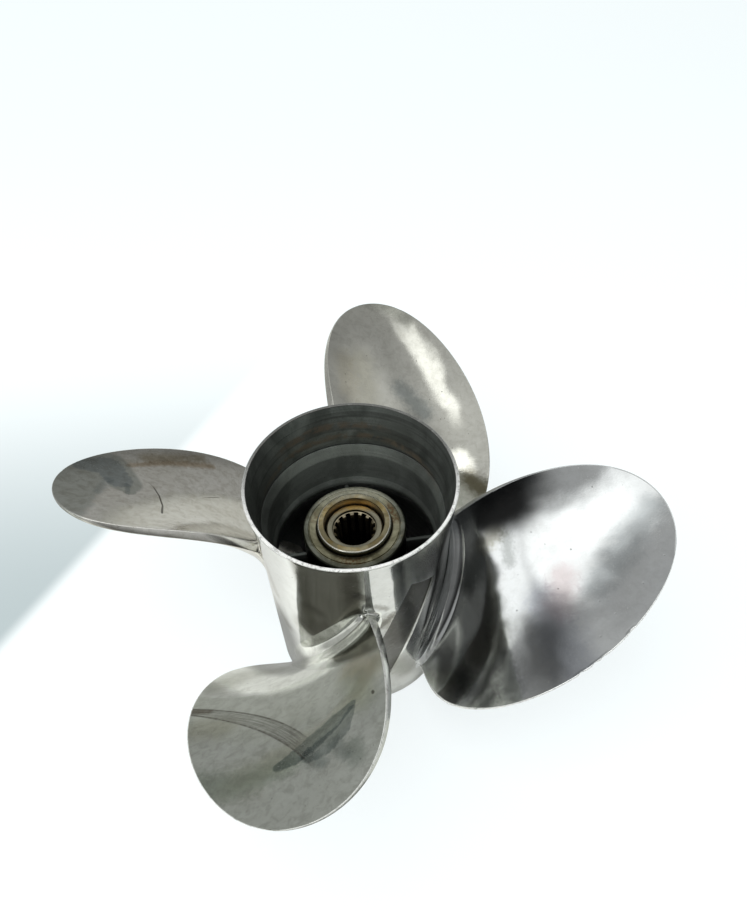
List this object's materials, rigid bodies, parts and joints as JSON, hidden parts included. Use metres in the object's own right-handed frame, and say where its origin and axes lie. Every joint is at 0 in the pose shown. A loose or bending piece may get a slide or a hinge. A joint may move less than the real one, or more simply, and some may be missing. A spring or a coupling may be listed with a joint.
{
  "type": "outboard motor propeller",
  "caption": "Polished stainless steel propeller of an outboard motor, with wide swept blades on a tube, a flared rim, a ribbed inner hub and a splined drive sleeve in rubber.",
  "frame": {"origin": "centre of the base, where the forward end of the barrel stands on the floor", "axes": "+Z along the shaft axis, from the forward end to the flared aft rim"},
  "size_m": [0.3526, 0.3526, 0.161],
  "materials": {
    "polished_stainless": "mirror-polished stainless steel casting with fine scratches",
    "satin_stainless": "satin stainless steel, stained by exhaust",
    "sleeve_bronze": "worn bronze with a dull patina",
    "black_rubber": "matt black rubber"
  },
  "bodies": {
    "root": {"barrel": "polished_stainless", "blade_1": "polished_stainless", "blade_2": "polished_stainless", "blade_3": "polished_stainless", "blade_4": "polished_stainless", "inner_hub": "satin_stainless", "rib_1": "satin_stainless", "rib_2": "satin_stainless", "rib_3": "satin_stainless", "rib_4": "satin_stainless", "drive_sleeve": "sleeve_bronze", "rubber_bushing": "black_rubber"}
  },
  "joints": []
}
